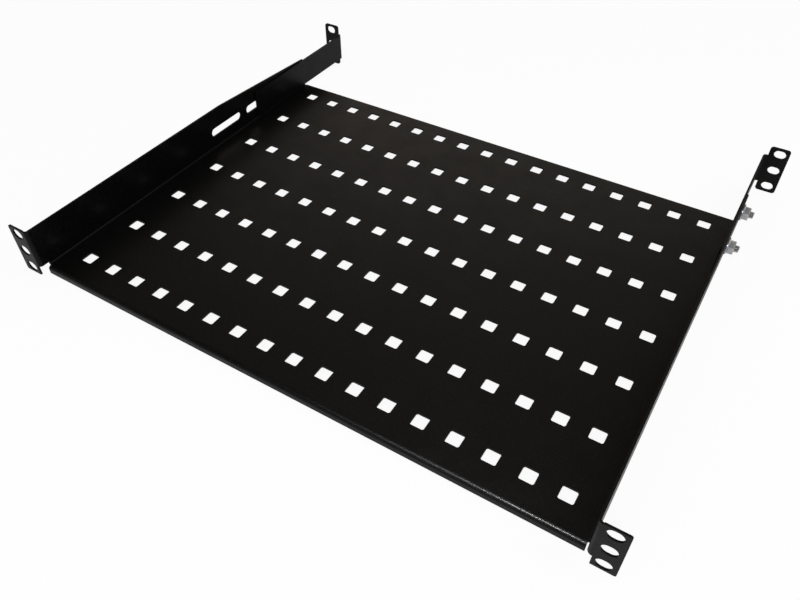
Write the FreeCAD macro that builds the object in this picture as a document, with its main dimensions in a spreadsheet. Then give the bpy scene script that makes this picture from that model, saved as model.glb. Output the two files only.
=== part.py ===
import FreeCAD, Part
import math
import os
from types import SimpleNamespace

import Sketcher
from FreeCAD import Placement, Rotation, Vector

# A vented 1U rack shelf: a folded sheet tray that bolts to the front rails by its two ears, and two
# sliding brackets inside its rear corners that bolt to the rear rails. Each bracket is clamped to
# the tray wall by two studs and two flange nuts.
#
# Frame: origin in the middle of the front ears' slots, on the ears' rear faces, which seat on the
# front rails. X runs across the rack to the right, Y to the rear, Z up. Millimetres.

SIZES = {
    # the sheet and its folds
    "sheet_gauge": 1.5,
    "bend_inner": 1.6,
    # tray
    "tray_width": 446.4,
    "floor_depth": 337.0,
    "lip_drop": 6.8,
    "lip_setback": 3.7,
    "corner_slit": 1.2,
    "relief_rise": 2.0,
    "wall_rise": 36.0,
    "taper_length": 124.4,
    "taper_drop": 7.9,
    # rack slots in all four ears: their spacing up the rail, and how far out they lie from a wall
    "slot_pitch": 15.875,
    "slot_offset": 9.35,
    # front ears
    "ear_side_margin": 8.15,
    "ear_end_margin": 5.825,
    "ear_corner": 1.5,
    "tab_gap": 0.5,
    "front_slot_length": 10.3,
    "front_slot_width": 8.7,
    # vent holes in the floor
    "vent_side": 10.0,
    "vent_corner": 0.8,
    "vent_side_margin": 23.2,
    "vent_front_margin": 24.2,
    "vent_rear_margin": 19.6,
    "vent_columns": 17,
    "vent_rows": 7,
    # long slots in the walls, which take the studs
    "wall_slot_length": 40.4,
    "wall_slot_bridge": 8.4,
    "wall_slot_rise": 14.5,
    "wall_slot_margin": 2.2,
    "wall_slot_play": 1.6,
    "wall_slot_count": 3,
    # rear brackets
    "bracket_reach": 72.5,
    "bracket_bend_gap": 0.2,
    "web_top_gap": 0.5,
    "web_corner": 1.5,
    "stud_inset": 22.6,
    "stud_end_gap": 0.7,
    "rear_side_margin": 7.65,
    "rear_end_margin": 5.625,
    "rear_ear_corner": 2.5,
    "rear_slot_length": 9.6,
    "rear_slot_width": 7.2,
    # studs and flange nuts
    "stud_diameter": 6.0,
    "stud_head_rim": 1.1,
    "stud_head_depth": 0.9,
    "stud_overhang": 3.2,
    "nut_flats": 10.0,
    "nut_height": 6.0,
    "flange_rim": 3.75,
    "flange_edge": 1.3,
}

doc = FreeCAD.newDocument("rack_shelf")
sheet = doc.addObject("Spreadsheet::Sheet", "Sizes")
for row, (alias, value) in enumerate(SIZES.items(), 1):
    sheet.set(f"A{row}", alias)
    sheet.set(f"B{row}", str(value))
    sheet.setAlias(f"B{row}", alias)
doc.recompute()


class Size:
    # A length: its number now, and the expression that keeps it bound to the sheet.
    def __init__(self, number, text):
        self.number = float(number)
        self.text = text

    def __add__(self, other):
        other = as_size(other)
        return Size(self.number + other.number, f"({self.text} + {other.text})")

    def __sub__(self, other):
        other = as_size(other)
        return Size(self.number - other.number, f"({self.text} - {other.text})")

    def __mul__(self, other):
        other = as_size(other)
        return Size(self.number * other.number, f"({self.text} * {other.text})")

    def __truediv__(self, other):
        other = as_size(other)
        return Size(self.number / other.number, f"({self.text} / {other.text})")

    def __neg__(self):
        return self * -1


def as_size(value):
    return value if isinstance(value, Size) else Size(value, str(value))


mm = SimpleNamespace(**{alias: Size(sheet.get(alias), f"Sizes.{alias}") for alias in SIZES})

# Places that several pieces share, worked out from the sizes above.
bend_outer = mm.bend_inner + mm.sheet_gauge
outer_half = mm.tray_width / 2
inner_half = outer_half - mm.sheet_gauge
slot_half_span = outer_half + mm.slot_offset
ear_half_height = mm.slot_pitch + mm.ear_end_margin
floor_top = mm.lip_drop - ear_half_height
lip_foot = floor_top - mm.lip_drop
lip_half = inner_half - mm.corner_slit
lip_front = mm.lip_setback
lip_rear = lip_front + mm.floor_depth
fold_front = lip_front + bend_outer
wall_rear = lip_rear - bend_outer
wall_top = floor_top + mm.wall_rise
wall_end_top = wall_top - mm.taper_drop
slot_level = floor_top + mm.wall_slot_rise
wall_slot_pitch = mm.wall_slot_length + mm.wall_slot_bridge
last_slot_rear = wall_rear - mm.wall_slot_margin
rear_stud = last_slot_rear - mm.stud_diameter / 2 - mm.stud_end_gap
front_stud = rear_stud - wall_slot_pitch
web_inside = inner_half - mm.sheet_gauge
web_front = front_stud - mm.stud_inset
web_foot = floor_top + mm.bend_inner + mm.bracket_bend_gap
web_top = wall_end_top - mm.web_top_gap
rear_mount = rear_stud + mm.bracket_reach


def bind(thing, **expressions):
    for path, size in expressions.items():
        thing.setExpression(path.replace("__", "."), as_size(size).text)


def new_body(label):
    body = doc.addObject("PartDesign::Body", label)
    body.Label = label
    return body


def origin_feature(body, role):
    return next(feature for feature in body.Origin.OriginFeatures if feature.Role == role)


def new_sketch(body, name, role, height=0):
    # height is measured along the plane's normal: +Z on XY, -Y on XZ, +X on YZ.
    sketch = body.newObject("Sketcher::SketchObject", name)
    sketch.AttachmentSupport = [(origin_feature(body, role), "")]
    sketch.MapMode = "FlatFace"
    bind(sketch, AttachmentOffset__Base__z=height)
    return sketch


def measure(sketch, kind, places, size):
    # Adds a dimension and binds it to the sheet.
    index = sketch.addConstraint(Sketcher.Constraint(kind, *places, size.number))
    sketch.setExpression(f"Constraints[{index}]", size.text)


def add_outline(sketch, edges):
    # edges: the closed outline's straight edges in order, upright and level in turn. Each is its
    # place, as an x or a y, and the radius of the corner that it makes with the next, or None.
    count = len(edges)
    places = [as_size(edge[1]) for edge in edges]
    corners = []
    for i, edge in enumerate(edges):
        first, second = places[i].number, places[(i + 1) % count].number
        corners.append(Vector(first, second, 0) if edge[0] == "x" else Vector(second, first, 0))
    along = [(corners[i] - corners[i - 1]).normalize() for i in range(count)]
    radii = [edge[2] for edge in edges]
    lines = []
    for i in range(count):
        start, end = Vector(corners[i - 1]), Vector(corners[i])
        if radii[i - 1] is not None:
            start += along[i] * radii[i - 1].number
        if radii[i] is not None:
            end -= along[i] * radii[i].number
        lines.append(sketch.addGeometry(Part.LineSegment(start, end), False))
        upright = edges[i][0] == "x"
        sketch.addConstraint(Sketcher.Constraint("Vertical" if upright else "Horizontal", lines[i]))
    for i in range(count):
        following = (i + 1) % count
        if radii[i] is None:
            sketch.addConstraint(Sketcher.Constraint("Coincident", lines[i], 2, lines[following], 1))
            continue
        add_corner(sketch, corners[i], along[i], along[following], radii[i], lines[i], lines[following])
    for i, edge in enumerate(edges):
        kind = "DistanceX" if edge[0] == "x" else "DistanceY"
        measure(sketch, kind, (-1, 1, lines[i], 1), places[i])


def add_corner(sketch, corner, inward, outward, radius, line_in, line_out):
    # A round corner: an arc that meets both lines tangentially.
    centre = corner - inward * radius.number + outward * radius.number
    left_turn = inward.cross(outward).z > 0
    first, last = (-outward, inward) if left_turn else (inward, -outward)
    start = math.atan2(first.y, first.x)
    end = math.atan2(last.y, last.x)
    circle = Part.Circle(centre, Vector(0, 0, 1), radius.number)
    arc = sketch.addGeometry(Part.ArcOfCircle(circle, start, end), False)
    enter, leave = (1, 2) if left_turn else (2, 1)
    sketch.addConstraint(Sketcher.Constraint("Tangent", arc, enter, line_in, 2))
    sketch.addConstraint(Sketcher.Constraint("Tangent", arc, leave, line_out, 1))
    measure(sketch, "Radius", (arc,), radius)


def add_polygon(sketch, points):
    # A closed outline of straight edges through the points, each an x and a y.
    corners = [Vector(x.number, y.number, 0) for x, y in points]
    lines = []
    for i, (x, y) in enumerate(points):
        line = Part.LineSegment(corners[i], corners[(i + 1) % len(points)])
        lines.append(sketch.addGeometry(line, False))
        measure(sketch, "DistanceX", (-1, 1, lines[i], 1), x)
        measure(sketch, "DistanceY", (-1, 1, lines[i], 1), y)
    for i, line in enumerate(lines):
        sketch.addConstraint(Sketcher.Constraint("Coincident", line, 2, lines[(i + 1) % len(lines)], 1))


def add_slot(sketch, x, y, length, width):
    # A slot with round ends, level in the sketch and centred on x, y.
    radius, reach = width / 2, (length - width) / 2
    up = Vector(0, radius.number, 0)
    ends = [x - reach, x + reach]
    centres = [Vector(end.number, y.number, 0) for end in ends]
    normal = Vector(0, 0, 1)
    left_circle = Part.Circle(centres[0], normal, radius.number)
    right_circle = Part.Circle(centres[1], normal, radius.number)
    left = sketch.addGeometry(Part.ArcOfCircle(left_circle, math.pi / 2, 3 * math.pi / 2), False)
    right = sketch.addGeometry(Part.ArcOfCircle(right_circle, -math.pi / 2, math.pi / 2), False)
    low = sketch.addGeometry(Part.LineSegment(centres[0] - up, centres[1] - up), False)
    high = sketch.addGeometry(Part.LineSegment(centres[1] + up, centres[0] + up), False)
    around = [left, low, right, high]
    for i, edge in enumerate(around):
        sketch.addConstraint(Sketcher.Constraint("Tangent", edge, 2, around[(i + 1) % 4], 1))
    sketch.addConstraint(Sketcher.Constraint("Equal", left, right))
    measure(sketch, "Radius", (left,), radius)
    for arc, end in ((left, ends[0]), (right, ends[1])):
        measure(sketch, "DistanceX", (-1, 1, arc, 3), end)
        measure(sketch, "DistanceY", (-1, 1, arc, 3), y)


def add_round(sketch, x, y, diameter):
    circle = Part.Circle(Vector(x.number, y.number, 0), Vector(0, 0, 1), diameter.number / 2)
    index = sketch.addGeometry(circle, False)
    measure(sketch, "Diameter", (index,), diameter)
    measure(sketch, "DistanceX", (-1, 1, index, 3), x)
    measure(sketch, "DistanceY", (-1, 1, index, 3), y)


def pad(body, name, sketch, length, both_ways=False, backwards=False):
    feature = body.newObject("PartDesign::Pad", name)
    feature.Profile = sketch
    feature.Midplane = both_ways
    feature.Reversed = backwards
    bind(feature, Length=length)
    doc.recompute()
    return feature


def pocket(body, name, sketch, depth=None, backwards=False, both_ways=False):
    # With no depth the cut goes right through. A cut that takes nothing away is an error.
    before = body.Shape.Volume
    feature = body.newObject("PartDesign::Pocket", name)
    feature.Profile = sketch
    feature.Midplane = both_ways
    feature.Reversed = backwards
    if depth is None:
        feature.Type = "ThroughAll"
    else:
        bind(feature, Length=depth)
    doc.recompute()
    if not feature.Shape.Volume < before - 0.01:
        raise RuntimeError(f"{name} cuts nothing")
    return feature


def mirror(body, name, features):
    feature = body.newObject("PartDesign::Mirrored", name)
    feature.Originals = features
    feature.MirrorPlane = (origin_feature(body, "YZ_Plane"), [""])
    body.Tip = feature
    doc.recompute()
    return feature


def make_tray():
    body = new_body("tray")
    add_channel(body)
    add_floor_and_lips(body)
    taper_walls(body)
    right_side = add_front_ear(body)
    right_side.append(cut_wall_slots(body))
    mirror(body, "left_side", right_side)
    cut_vents(body)
    return body


def add_channel(body):
    # The floor and both walls, folded up with round bends, behind the front corner reliefs.
    floor_under = floor_top - mm.sheet_gauge
    sketch = new_sketch(body, "channel_section", "XZ_Plane", -fold_front)
    add_outline(sketch, [
        ("y", floor_under, bend_outer),
        ("x", outer_half, None),
        ("y", wall_top, None),
        ("x", inner_half, mm.bend_inner),
        ("y", floor_top, mm.bend_inner),
        ("x", -inner_half, None),
        ("y", wall_top, None),
        ("x", -outer_half, bend_outer),
    ])
    pad(body, "channel", sketch, wall_rear - fold_front, backwards=True)


def add_floor_and_lips(body):
    # The floor's full depth with a lip folded down at the front and at the rear.
    sketch = new_sketch(body, "lip_section", "YZ_Plane")
    lip_inside = lip_front + mm.sheet_gauge
    rear_inside = lip_rear - mm.sheet_gauge
    add_outline(sketch, [
        ("y", floor_top, bend_outer),
        ("x", lip_rear, None),
        ("y", lip_foot, None),
        ("x", rear_inside, mm.bend_inner),
        ("y", floor_top - mm.sheet_gauge, mm.bend_inner),
        ("x", lip_inside, None),
        ("y", lip_foot, None),
        ("x", lip_front, bend_outer),
    ])
    pad(body, "floor_and_lips", sketch, lip_half * 2, both_ways=True)


def taper_walls(body):
    # Both walls run down towards the rear in one straight cut.
    sketch = new_sketch(body, "taper_profile", "YZ_Plane")
    kink = wall_rear - mm.taper_length
    add_polygon(sketch, [(kink, wall_top), (wall_rear, wall_end_top), (wall_rear, wall_top)])
    pocket(body, "taper", sketch, mm.tray_width * 2, both_ways=True)


def cut_vents(body):
    # A row of square holes with cut corners along the floor's left side, repeated across it.
    row_width = mm.tray_width - mm.vent_side_margin * 2
    first_x = row_width / -2
    first_y = lip_front + mm.vent_front_margin
    last_y = lip_rear - mm.vent_rear_margin
    pitch = (last_y - first_y) / (mm.vent_rows - 1)
    sketch = new_sketch(body, "vent_outlines", "XY_Plane", floor_top)
    for place in range(SIZES["vent_rows"]):
        add_cut_square(sketch, first_x, first_y + pitch * place, mm.vent_side, mm.vent_corner)
    row = pocket(body, "vent_row", sketch, mm.sheet_gauge)
    grid = body.newObject("PartDesign::LinearPattern", "vent_grid")
    grid.Refine = False
    grid.Originals = [row]
    grid.Direction = (origin_feature(body, "X_Axis"), [""])
    bind(grid, Length=row_width, Occurrences=mm.vent_columns)
    body.Tip = grid
    doc.recompute()


def add_cut_square(sketch, x, y, side, corner):
    half = side / 2
    flat = half - corner
    signs = ((1, -1), (1, 1), (-1, 1), (-1, -1))
    points = []
    for i, (right, up) in enumerate(signs):
        ends = [(x + half * right, y + flat * up), (x + flat * right, y + half * up)]
        points += ends if i % 2 else reversed(ends)
    add_polygon(sketch, points)


def add_front_ear(body):
    # The right ear: the wall runs on past the floor, bends outwards, and carries a taller plate.
    sketch = new_sketch(body, "ear_bend_plan", "XY_Plane", floor_top + mm.relief_rise)
    ear_start = outer_half + mm.bend_inner + mm.tab_gap
    add_outline(sketch, [
        ("y", -mm.sheet_gauge, None),
        ("x", ear_start, None),
        ("y", as_size(0), mm.bend_inner),
        ("x", outer_half, None),
        ("y", fold_front, None),
        ("x", inner_half, bend_outer),
    ])
    bend = pad(body, "ear_bend", sketch, mm.wall_rise - mm.relief_rise)
    plate_sketch = new_sketch(body, "ear_outline", "XZ_Plane")
    add_outline(plate_sketch, [
        ("y", -ear_half_height, mm.ear_corner),
        ("x", slot_half_span + mm.ear_side_margin, mm.ear_corner),
        ("y", ear_half_height, None),
        ("x", ear_start, None),
    ])
    plate = pad(body, "ear_plate", plate_sketch, mm.sheet_gauge)
    slot_sketch = new_sketch(body, "ear_slot_outlines", "XZ_Plane")
    for level in (-1, 0, 1):
        add_slot(slot_sketch, slot_half_span, mm.slot_pitch * level,
                 mm.front_slot_length, mm.front_slot_width)
    slots = pocket(body, "ear_slots", slot_sketch, mm.sheet_gauge, backwards=True)
    return [bend, plate, slots]


def cut_wall_slots(body):
    # Three long slots in a row, for the studs of a bracket at any depth.
    sketch = new_sketch(body, "wall_slot_outlines", "YZ_Plane", inner_half)
    for place in range(SIZES["wall_slot_count"]):
        centre = last_slot_rear - mm.wall_slot_length / 2 - wall_slot_pitch * place
        add_slot(sketch, centre, slot_level, mm.wall_slot_length, mm.stud_diameter + mm.wall_slot_play)
    return pocket(body, "wall_slots", sketch, mm.sheet_gauge, backwards=True)


def make_right_bracket():
    # An angle: a web that lies against the tray wall and an ear bent outwards behind the rail.
    body = new_body("right_bracket")
    ear_start = inner_half + mm.bend_inner + mm.tab_gap
    plan = new_sketch(body, "bracket_plan", "XY_Plane", web_foot)
    add_outline(plan, [
        ("y", rear_mount, None),
        ("x", ear_start, None),
        ("y", rear_mount + mm.sheet_gauge, bend_outer),
        ("x", web_inside, None),
        ("y", web_front, None),
        ("x", inner_half, mm.bend_inner),
    ])
    pad(body, "web", plan, web_top - web_foot)
    round_web_corners(body)
    plate_sketch = new_sketch(body, "rear_ear_outline", "XZ_Plane", -rear_mount)
    half_height = mm.slot_pitch + mm.rear_end_margin
    add_outline(plate_sketch, [
        ("y", -half_height, mm.rear_ear_corner),
        ("x", slot_half_span + mm.rear_side_margin, mm.rear_ear_corner),
        ("y", half_height, mm.rear_ear_corner),
        ("x", ear_start, mm.rear_ear_corner),
    ])
    pad(body, "rear_ear", plate_sketch, mm.sheet_gauge, backwards=True)
    slot_sketch = new_sketch(body, "rear_slot_outlines", "XZ_Plane", -rear_mount)
    for level in (-1, 0, 1):
        add_slot(slot_sketch, slot_half_span, mm.slot_pitch * level,
                 mm.rear_slot_length, mm.rear_slot_width)
    pocket(body, "rear_slots", slot_sketch, mm.sheet_gauge)
    head_diameter = mm.stud_diameter + mm.stud_head_rim * 2
    for name, diameter, depth in (("stud_holes", mm.stud_diameter, mm.sheet_gauge),
                                  ("stud_seats", head_diameter, mm.stud_head_depth)):
        holes = new_sketch(body, name + "_outline", "YZ_Plane", web_inside)
        for place in (front_stud, rear_stud):
            add_round(holes, place, slot_level, diameter)
        pocket(body, name, holes, depth, backwards=True)
    return body


def round_web_corners(body):
    # The two upright corners at the web's front end.
    front = [edge for edge in body.Shape.Edges
             if abs(edge.CenterOfMass.y - web_front.number) < 0.01 and edge.BoundBox.XLength > 1]
    names = [f"Edge{i}" for i, edge in enumerate(body.Shape.Edges, 1) if any(map(edge.isSame, front))]
    web = body.Tip
    fillet = body.newObject("PartDesign::Fillet", "web_corners")
    fillet.Base = (web, names)
    bind(fillet, Radius=mm.web_corner)
    doc.recompute()


def make_mirror(source, label):
    # The same piece, opposite hand, across the shelf's middle plane.
    copy = doc.addObject("Part::Mirroring", label)
    copy.Label = label
    copy.Source = source
    copy.Normal = Vector(1, 0, 0)
    return copy


def make_stud(label, side, place):
    # A stud pressed flush into the web: a thin head and a shank.
    head = doc.addObject("Part::Cylinder", label + "_head")
    bind(head, Radius=mm.stud_diameter / 2 + mm.stud_head_rim, Height=mm.stud_head_depth)
    shank = doc.addObject("Part::Cylinder", label + "_shank")
    bind(shank, Radius=mm.stud_diameter / 2,
         Height=mm.sheet_gauge * 2 + mm.nut_height + mm.stud_overhang)
    stud = doc.addObject("Part::Fuse", label)
    stud.Base, stud.Tool = head, shank
    stand(stud, label, side, web_inside, place)
    return stud


def make_nut(label, side, place):
    # A flange nut: a hexagon on a round flange, bored for the stud.
    hexagon = doc.addObject("Part::Prism", label + "_hexagon")
    hexagon.Polygon = 6
    bind(hexagon, Circumradius=mm.nut_flats / math.sqrt(3), Height=mm.nut_height)
    flange = doc.addObject("Part::Cylinder", label + "_flange")
    bind(flange, Radius=mm.stud_diameter / 2 + mm.flange_rim, Height=mm.flange_edge)
    blank = doc.addObject("Part::Fuse", label + "_blank")
    blank.Base, blank.Tool = hexagon, flange
    bore = doc.addObject("Part::Cylinder", label + "_bore")
    bind(bore, Radius=mm.stud_diameter / 2, Height=mm.nut_height)
    nut = doc.addObject("Part::Cut", label)
    nut.Base, nut.Tool = blank, bore
    stand(nut, label, side, outer_half, place)
    return nut


def stand(piece, label, side, across, place):
    # Turns a piece made along +Z to point outwards from a wall, and moves it to its place.
    piece.Label = label
    piece.Placement = Placement(Vector(0, 0, 0), Rotation(Vector(0, 1, 0), 90 * side))
    bind(piece, Placement__Base__x=across * side, Placement__Base__y=place,
         Placement__Base__z=slot_level)


def write_parts(pieces):
    doc.recompute()
    for thing in doc.Objects:
        if "Invalid" in thing.State or "Error" in thing.State:
            raise RuntimeError(f"{thing.Name} did not build: {thing.State}")
    os.makedirs("parts", exist_ok=True)
    for piece in pieces:
        if piece.Shape.isNull() or not piece.Shape.isValid():
            raise RuntimeError(f"{piece.Label} has no valid shape")
        piece.Shape.exportStep(f"parts/{piece.Label}.step")
        print(piece.Label, "solids", len(piece.Shape.Solids), "volume", round(piece.Shape.Volume, 1))


tray = make_tray()
right_bracket = make_right_bracket()
pieces = [tray, right_bracket, make_mirror(right_bracket, "left_bracket")]
for side_name, side in (("right", 1), ("left", -1)):
    for end_name, place in (("front", front_stud), ("rear", rear_stud)):
        pieces.append(make_stud(f"{side_name}_{end_name}_stud", side, place))
        pieces.append(make_nut(f"{side_name}_{end_name}_nut", side, place))
write_parts(pieces)
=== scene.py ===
import math

import bpy
from mathutils import Euler, Matrix, Vector


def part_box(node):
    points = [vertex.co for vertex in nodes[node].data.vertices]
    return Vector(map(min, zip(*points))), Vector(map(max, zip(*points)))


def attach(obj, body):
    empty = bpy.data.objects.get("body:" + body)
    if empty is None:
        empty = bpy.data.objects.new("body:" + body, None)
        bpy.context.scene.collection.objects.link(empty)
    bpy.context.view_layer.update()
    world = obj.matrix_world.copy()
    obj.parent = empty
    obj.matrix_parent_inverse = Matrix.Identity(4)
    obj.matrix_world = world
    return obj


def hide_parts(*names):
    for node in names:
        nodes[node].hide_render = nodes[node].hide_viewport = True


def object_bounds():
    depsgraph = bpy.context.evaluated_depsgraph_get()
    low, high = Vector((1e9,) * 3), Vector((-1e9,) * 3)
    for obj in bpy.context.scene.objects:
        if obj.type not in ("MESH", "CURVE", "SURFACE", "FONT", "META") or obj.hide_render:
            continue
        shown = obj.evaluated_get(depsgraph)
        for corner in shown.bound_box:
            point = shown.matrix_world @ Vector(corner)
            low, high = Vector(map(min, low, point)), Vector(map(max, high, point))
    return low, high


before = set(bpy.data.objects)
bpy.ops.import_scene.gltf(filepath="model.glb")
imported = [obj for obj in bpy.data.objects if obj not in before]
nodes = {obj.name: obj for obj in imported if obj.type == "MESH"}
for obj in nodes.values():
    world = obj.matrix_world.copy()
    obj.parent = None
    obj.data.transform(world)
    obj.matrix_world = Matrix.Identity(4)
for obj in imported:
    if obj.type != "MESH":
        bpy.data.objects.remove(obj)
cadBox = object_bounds()
print("frame loaded:", len(nodes), "pieces")


# Helpers that the materials and the world share

mixSockets = {"factor": 0, "first": 6, "second": 7, "result": 2}  # a Mix node's colour sockets


def newMaterial(name):
    material = bpy.data.materials.new(name)
    material.use_nodes = True
    tree = material.node_tree
    return material, tree, tree.nodes["Principled BSDF"]


def addNode(tree, kind, **settings):
    node = tree.nodes.new(kind)
    for key, value in settings.items():
        if key in node.inputs:
            node.inputs[key].default_value = value
        else:
            setattr(node, key, value)
    return node


def objectNoise(tree, scale, detail=4.0, roughness=0.5, stretch=None):
    # A noise laid over the piece in its own metres, so its grain keeps a true size.
    place = addNode(tree, "ShaderNodeTexCoord")
    noise = addNode(tree, "ShaderNodeTexNoise", Scale=scale, Detail=detail, Roughness=roughness)
    source = place.outputs["Object"]
    if stretch:
        mapping = addNode(tree, "ShaderNodeMapping", Scale=stretch)
        tree.links.new(source, mapping.inputs["Vector"])
        source = mapping.outputs["Vector"]
    tree.links.new(source, noise.inputs["Vector"])
    return noise.outputs["Fac"]


def spread(tree, source, wanted, span=(0.35, 0.65)):
    # Maps the span onto the wanted range. The usual span is where most of a noise lies.
    ramp = addNode(tree, "ShaderNodeMapRange")
    ramp.inputs["From Min"].default_value, ramp.inputs["From Max"].default_value = span
    ramp.inputs["To Min"].default_value, ramp.inputs["To Max"].default_value = wanted
    tree.links.new(source, ramp.inputs["Value"])
    return ramp.outputs["Result"]


def mixColours(tree, factor, first, second):
    # Either colour is a plain one or another node's output.
    mix = addNode(tree, "ShaderNodeMix", data_type="RGBA")
    tree.links.new(factor, mix.inputs[mixSockets["factor"]])
    for place, colour in (("first", first), ("second", second)):
        socket = mix.inputs[mixSockets[place]]
        if isinstance(colour, tuple):
            socket.default_value = (*colour, 1)
        else:
            tree.links.new(colour, socket)
    return mix.outputs[mixSockets["result"]]


def addBump(tree, source, distance, under=None):
    bump = addNode(tree, "ShaderNodeBump", Distance=distance, Strength=1.0)
    tree.links.new(source, bump.inputs["Height"])
    if under:
        tree.links.new(under, bump.inputs["Normal"])
    return bump.outputs["Normal"]


# Black powder coat: satin, with the fine orange peel of the melted powder

coat = {
    "deep": (0.0008, 0.0008, 0.0009),
    "pale": (0.0042, 0.0040, 0.0037),  # the specks
    "specksPerMetre": 800,
    "speckSpan": (0.4, 0.62),
    "specular": 0.07,
    "roughness": (0.38, 0.48),
    "sheenPerMetre": 45,
    "skinWeight": 0.04,  # a thin glossier skin, which draws the glint along a bend
    "skinRoughness": 0.18,
    "skinPeelDepth": 0.00002,
    "peelPerMetre": 950,
    "peelDepth": 0.0001,
    "grainPerMetre": 4200,
    "grainDepth": 0.00003,
    "wavesPerMetre": 9,  # the sheet itself isn't quite flat
    "waveDepth": 0.0009,
}


def makePowderCoat():
    material, tree, shader = newMaterial("blackPowderCoat")
    links = tree.links
    specks = objectNoise(tree, coat["specksPerMetre"], detail=3, roughness=0.7)
    speckled = spread(tree, specks, (0, 1), coat["speckSpan"])
    colour = mixColours(tree, speckled, coat["deep"], coat["pale"])
    links.new(colour, shader.inputs["Base Color"])
    sheen = objectNoise(tree, coat["sheenPerMetre"], detail=8, roughness=0.65)
    links.new(spread(tree, sheen, coat["roughness"]), shader.inputs["Roughness"])
    shader.inputs["Specular IOR Level"].default_value = coat["specular"]
    shader.inputs["Coat Weight"].default_value = coat["skinWeight"]
    shader.inputs["Coat Roughness"].default_value = coat["skinRoughness"]
    waves = addBump(tree, objectNoise(tree, coat["wavesPerMetre"], detail=1), coat["waveDepth"])
    dimples = objectNoise(tree, coat["peelPerMetre"], detail=2)
    peel = addBump(tree, dimples, coat["peelDepth"], under=waves)
    fineGrain = objectNoise(tree, coat["grainPerMetre"], detail=1)
    links.new(addBump(tree, fineGrain, coat["grainDepth"], under=peel), shader.inputs["Normal"])
    skinPeel = addBump(tree, dimples, coat["skinPeelDepth"], under=waves)
    links.new(skinPeel, shader.inputs["Coat Normal"])
    return material


# Zinc plate on the studs and nuts: bright, a little blue, with faint turning marks

zinc = {
    "cool": (0.34, 0.37, 0.41),
    "warm": (0.46, 0.45, 0.42),
    "tintPerMetre": 180,
    "roughness": (0.22, 0.42),
    "dullPerMetre": 420,
    "marksPerMetre": 900,
    "markStretch": (6, 1, 1),
    "markDepth": 0.00003,
}


def makeZinc():
    material, tree, shader = newMaterial("zincPlate")
    links = tree.links
    tint = spread(tree, objectNoise(tree, zinc["tintPerMetre"], detail=3), (0, 1))
    links.new(mixColours(tree, tint, zinc["cool"], zinc["warm"]), shader.inputs["Base Color"])
    shader.inputs["Metallic"].default_value = 1.0
    dullness = objectNoise(tree, zinc["dullPerMetre"], detail=6, roughness=0.7)
    links.new(spread(tree, dullness, zinc["roughness"]), shader.inputs["Roughness"])
    marks = objectNoise(tree, zinc["marksPerMetre"], detail=3, stretch=zinc["markStretch"])
    links.new(addBump(tree, marks, zinc["markDepth"]), shader.inputs["Normal"])
    return material


powderCoat = makePowderCoat()
zincPlate = makeZinc()
print("coat and plating made")


# Folded sheets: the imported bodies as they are, with the coat on them

sheets = ("tray", "right_bracket", "left_bracket")

for name in sheets:
    coated = nodes[name].data.materials
    coated.clear()
    coated.append(powderCoat)
print("sheets coated")


# Turned pieces, built as rings of points square to the stud's axis

turned = {"sharpAngle": 35}


def shadeSmooth(piece):
    for face in piece.data.polygons:
        face.use_smooth = True
    piece.data.set_sharp_from_angle(angle=math.radians(turned["sharpAngle"]))


def studAxes(node):
    # Where the axis starts on the bracket's side, two cross directions, and the way out.
    low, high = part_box(node)
    middle = [(a + b) / 2 for a, b in zip(low, high)]
    if middle[0] > 0:
        start = Vector((low[0], middle[1], middle[2]))
        return start, Vector((0, 1, 0)), Vector((0, 0, 1)), Vector((1, 0, 0))
    start = Vector((high[0], middle[1], middle[2]))
    return start, Vector((0, 0, 1)), Vector((0, 1, 0)), Vector((-1, 0, 0))


def ringPoints(axes, along, radiusAt, steps):
    start, across, up, out = axes
    points = []
    for i in range(steps):
        turn = math.tau * i / steps
        radius = radiusAt(turn)
        sideways = across * (radius * math.cos(turn)) + up * (radius * math.sin(turn))
        points.append(start + out * along + sideways)
    return points


def addRings(name, rings, closed):
    # Skins the rings in order. A closed piece joins the last to the first, an open one is capped.
    steps = len(rings[0])
    count = len(rings)
    faces = []
    for k in range(count if closed else count - 1):
        here, there = k * steps, (k + 1) % count * steps
        for i in range(steps):
            j = (i + 1) % steps
            faces.append((here + i, here + j, there + j, there + i))
    if not closed:
        faces.append(tuple(range(steps - 1, -1, -1)))
        faces.append(tuple(range((count - 1) * steps, count * steps)))
    mesh = bpy.data.meshes.new(name)
    mesh.from_pydata([point for ring in rings for point in ring], [], faces)
    piece = bpy.data.objects.new(name, mesh)
    bpy.context.collection.objects.link(piece)
    shadeSmooth(piece)
    return piece


# Studs: a head pressed flush and coated with the bracket, and a plated thread with a bevelled tip

stud = {
    "threadPitch": 0.001,
    "threadDepth": 0.0006,
    "crestRadius": 0.00295,
    "rootFlat": 0.12,  # shares of the pitch
    "crestFlat": 0.14,
    "headThickness": 0.0009,
    "neckLength": 0.0004,
    "tipRadius": 0.0022,
    "steps": 40,
    "ringsPerTurn": 10,
}


def threadRadius(along, turn):
    place = (along / stud["threadPitch"] - turn / math.tau) % 1
    flank = 1 - stud["crestFlat"] - stud["rootFlat"]
    slope = (abs(place * 2 - 1) - stud["crestFlat"]) / flank
    return stud["crestRadius"] - stud["threadDepth"] * min(max(slope, 0), 1)


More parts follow.
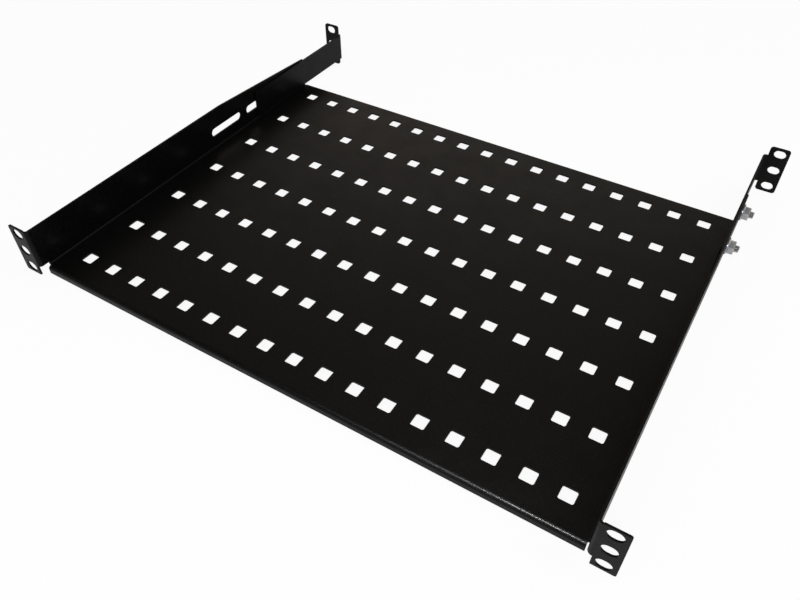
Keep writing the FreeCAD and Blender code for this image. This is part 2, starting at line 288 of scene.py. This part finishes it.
def addStud(node, body):
    low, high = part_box(node)
    length = high[0] - low[0]
    headRadius = (high[1] - low[1]) / 2
    head = stud["headThickness"]
    neck = head + stud["neckLength"]
    steps = stud["steps"]
    axes = studAxes(node)
    rings = [
        ringPoints(axes, 0, lambda turn: headRadius, steps),
        ringPoints(axes, head, lambda turn: headRadius, steps),
        ringPoints(axes, head, lambda turn: stud["crestRadius"], steps),
    ]
    ringCount = math.ceil((length - neck) / stud["threadPitch"] * stud["ringsPerTurn"])
    for k in range(ringCount + 1):
        along = neck + (length - neck) * k / ringCount
        bevel = stud["tipRadius"] + length - along
        rings.append(ringPoints(
            axes, along, lambda turn: min(threadRadius(along, turn), bevel), steps))
    piece = addRings(node + "_threaded", rings, closed=False)
    piece.data.materials.append(zincPlate)
    piece.data.materials.append(powderCoat)
    corners = piece.data.vertices
    for face in piece.data.polygons:
        reach = min(abs(corners[v].co.x - axes[0].x) for v in face.vertices)
        if reach < head / 2:
            face.material_index = 1
    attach(piece, body)
    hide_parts(node)


# Flange nuts: a bevelled hexagon on a sloping round flange, bored right through

nut = {
    "flats": 0.010,
    "cornerTurn": 30,
    "rimRound": 0.0003,
    "rimHeight": 0.0011,
    "slopeTop": 0.0021,
    "slopeTopRadius": 0.0047,
    "crownRadius": 0.00475,
    "crownAngle": 30,
    "boreRadius": 0.003,
    "boreBevel": 0.0004,
    "steps": 72,
    "rimSteps": 4,
    "slopeSteps": 8,
    "crownSteps": 8,
}


def hexagonRadius(turn):
    offset = (math.degrees(turn) - nut["cornerTurn"]) % 60 - 30
    return nut["flats"] / 2 / math.cos(math.radians(offset))


def addNut(node, body):
    low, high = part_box(node)
    height = high[0] - low[0]
    rim = (high[1] - low[1]) / 2
    small = nut["rimRound"]
    rimHeight = nut["rimHeight"]
    slopeRise = nut["slopeTop"] - rimHeight
    crownRise = math.tan(math.radians(nut["crownAngle"]))
    cornerDrop = (nut["flats"] / math.sqrt(3) - nut["crownRadius"]) * crownRise

    def flangeAt(along):
        if along <= rimHeight:
            inset = max(small - along, along - rimHeight + small, 0)
            return rim - small + math.sqrt(max(small ** 2 - inset ** 2, 0))
        share = min((along - rimHeight) / slopeRise, 1)
        return (rim - small) * (1 - share) + nut["slopeTopRadius"] * share

    def sideAt(along, turn):
        crown = nut["crownRadius"] + (height - along) / crownRise
        return max(flangeAt(along), min(hexagonRadius(turn), crown))

    rimSteps, slopeSteps, crownSteps = nut["rimSteps"], nut["slopeSteps"], nut["crownSteps"]
    levels = [small * k / rimSteps for k in range(rimSteps + 1)]
    levels += [rimHeight - small * k / rimSteps for k in range(rimSteps, -1, -1)]
    levels += [rimHeight + slopeRise * k / slopeSteps for k in range(1, slopeSteps + 1)]
    levels += [height - cornerDrop * k / crownSteps for k in range(crownSteps + 1, -1, -1)]

    axes = studAxes(node)
    steps = nut["steps"]
    rings = [ringPoints(axes, along, lambda turn: sideAt(along, turn), steps) for along in levels]
    bore, bevel = nut["boreRadius"], nut["boreBevel"]
    boreLevels = ((height, bore + bevel), (height - bevel, bore), (bevel, bore), (0, bore + bevel))
    for along, radius in boreLevels:
        rings.append(ringPoints(axes, along, lambda turn: radius, steps))
    piece = addRings(node + "_flanged", rings, closed=True)
    piece.data.materials.append(zincPlate)
    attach(piece, body)
    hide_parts(node)


for side in ("right", "left"):
    for end in ("front", "rear"):
        addStud(f"{side}_{end}_stud", f"{side}_rear_bracket")
        addNut(f"{side}_{end}_nut", f"{side}_rear_bracket")
print("studs and nuts made")


# Floor: white where it is seen or mirrored, but for a share that keeps a pale shadow

ground = {
    "size": 12,
    "gap": 0.0002,
    "whiteShare": 0.92,
    "colour": (0.92, 0.92, 0.92),
    "roughness": 0.9,
}


def anyRay(tree, *kinds):
    path = addNode(tree, "ShaderNodeLightPath")
    source = path.outputs[kinds[0]]
    for kind in kinds[1:]:
        either = addNode(tree, "ShaderNodeMath", operation="MAXIMUM")
        tree.links.new(source, either.inputs[0])
        tree.links.new(path.outputs[kind], either.inputs[1])
        source = either.outputs[0]
    return source


def seenRay(tree):
    return anyRay(tree, "Is Camera Ray", "Is Glossy Ray", "Is Transmission Ray")


def makeFloorMaterial():
    material, tree, shader = newMaterial("floorWhite")
    links = tree.links
    shader.inputs["Base Color"].default_value = (*ground["colour"], 1)
    shader.inputs["Roughness"].default_value = ground["roughness"]
    shader.inputs["Specular IOR Level"].default_value = 0.0
    white = addNode(tree, "ShaderNodeEmission", Strength=1.0)
    share = addNode(tree, "ShaderNodeMath", operation="MULTIPLY")
    share.inputs[1].default_value = ground["whiteShare"]
    links.new(seenRay(tree), share.inputs[0])
    mix = addNode(tree, "ShaderNodeMixShader")
    links.new(share.outputs[0], mix.inputs[0])
    links.new(shader.outputs[0], mix.inputs[1])
    links.new(white.outputs[0], mix.inputs[2])
    links.new(mix.outputs[0], tree.nodes["Material Output"].inputs["Surface"])
    return material


def addFloor():
    mesh = bpy.data.meshes.new("floor")
    half = ground["size"] / 2
    level = cadBox[0][2] - ground["gap"]
    sides = ((-half, -half), (half, -half), (half, half), (-half, half))
    mesh.from_pydata([(x, y, level) for x, y in sides], [], [(0, 1, 2, 3)])
    floor = bpy.data.objects.new("floor", mesh)
    bpy.context.collection.objects.link(floor)
    floor.data.materials.append(makeFloorMaterial())


# Room: plain white, while gloss picks up a room that is brighter and warmer at the rear left

room = {
    "strength": 0.5,
    "brightSide": (-0.383, 0.821, 0.423),
    "brightSpan": (0.86, 0.985),  # how squarely a direction faces the bright side
    "brightLevels": (0.34, 1.25),
    "tintSpan": (0, 0.8),
    "rearTint": (1.0, 0.90, 0.78),
    "frontTint": (0.94, 0.97, 1.0),
}


def lightWorld():
    world = bpy.data.worlds.new("studio")
    bpy.context.scene.world = world
    world.use_nodes = True
    tree = world.node_tree
    links = tree.links
    place = addNode(tree, "ShaderNodeTexCoord")
    toward = addNode(tree, "ShaderNodeVectorMath", operation="DOT_PRODUCT")
    toward.inputs[1].default_value = room["brightSide"]
    links.new(place.outputs["Generated"], toward.inputs[0])
    facing = toward.outputs["Value"]
    rearward = spread(tree, facing, (0, 1), room["tintSpan"])
    tinted = mixColours(tree, rearward, room["frontTint"], room["rearTint"])
    scaled = addNode(tree, "ShaderNodeVectorMath", operation="SCALE")
    links.new(tinted, scaled.inputs[0])
    bright = spread(tree, facing, room["brightLevels"], room["brightSpan"])
    links.new(bright, scaled.inputs["Scale"])
    mirrored = scaled.outputs["Vector"]
    colour = mixColours(tree, anyRay(tree, "Is Glossy Ray"), (1, 1, 1), mirrored)
    strength = spread(tree, seenRay(tree), (room["strength"], 1.0), (0, 1))
    background = tree.nodes["Background"]
    links.new(colour, background.inputs["Color"])
    links.new(strength, background.inputs["Strength"])


# Lamps: a soft key and fill for the shading, and a small beam that only glints on the front bend

lamps = {
    "key": {"place": (0.35, -0.9, 1.15), "size": (0.5, 0.5), "power": 9},
    "fill": {"place": (1.2, 0.5, 1.2), "size": (1.2, 1.2), "power": 7},
    "glint": {"place": (0.135, -0.26, 0.42), "size": (0.12, 0.03), "power": 0.45,
              "aim": (0.16, 0, -0.02), "beam": 40, "glossOnly": True},
}


def addLamp(name, place, size, power, aim=(0, 0.17, 0), beam=180, glossOnly=False):
    lamp = bpy.data.lights.new(name, "AREA")
    lamp.shape = "RECTANGLE"
    lamp.size, lamp.size_y = size
    lamp.energy = power
    lamp.spread = math.radians(beam)
    holder = bpy.data.objects.new(name, lamp)
    bpy.context.collection.objects.link(holder)
    holder.location = place
    direction = Vector(aim) - Vector(place)
    holder.rotation_euler = direction.to_track_quat("-Z", "Y").to_euler()
    holder.visible_diffuse = not glossOnly


addFloor()
lightWorld()
for name, lamp in lamps.items():
    addLamp(name, **lamp)
print("floor, room and lamps set")


# Camera: close, above the right front corner

view = {
    "eye": (0.23317, -0.21274, 0.36559),
    "turn": 31.565,
    "dip": 44.739,
    "roll": -0.154,
    "lens": 32.891,
    "sensorWidth": 36,
    "nearest": 0.01,
}


def addCamera():
    camera = bpy.data.objects.new("camera", bpy.data.cameras.new("camera"))
    bpy.context.collection.objects.link(camera)
    camera.location = view["eye"]
    aim = Euler((math.radians(90 - view["dip"]), 0, math.radians(view["turn"])))
    rolled = aim.to_matrix() @ Matrix.Rotation(math.radians(view["roll"]), 3, "Z")
    camera.rotation_euler = rolled.to_euler()
    camera.data.lens = view["lens"]
    camera.data.sensor_width = view["sensorWidth"]
    camera.data.clip_start = view["nearest"]
    bpy.context.scene.camera = camera


addCamera()
bpy.context.scene.view_settings.view_transform = "Standard"
print("camera placed")
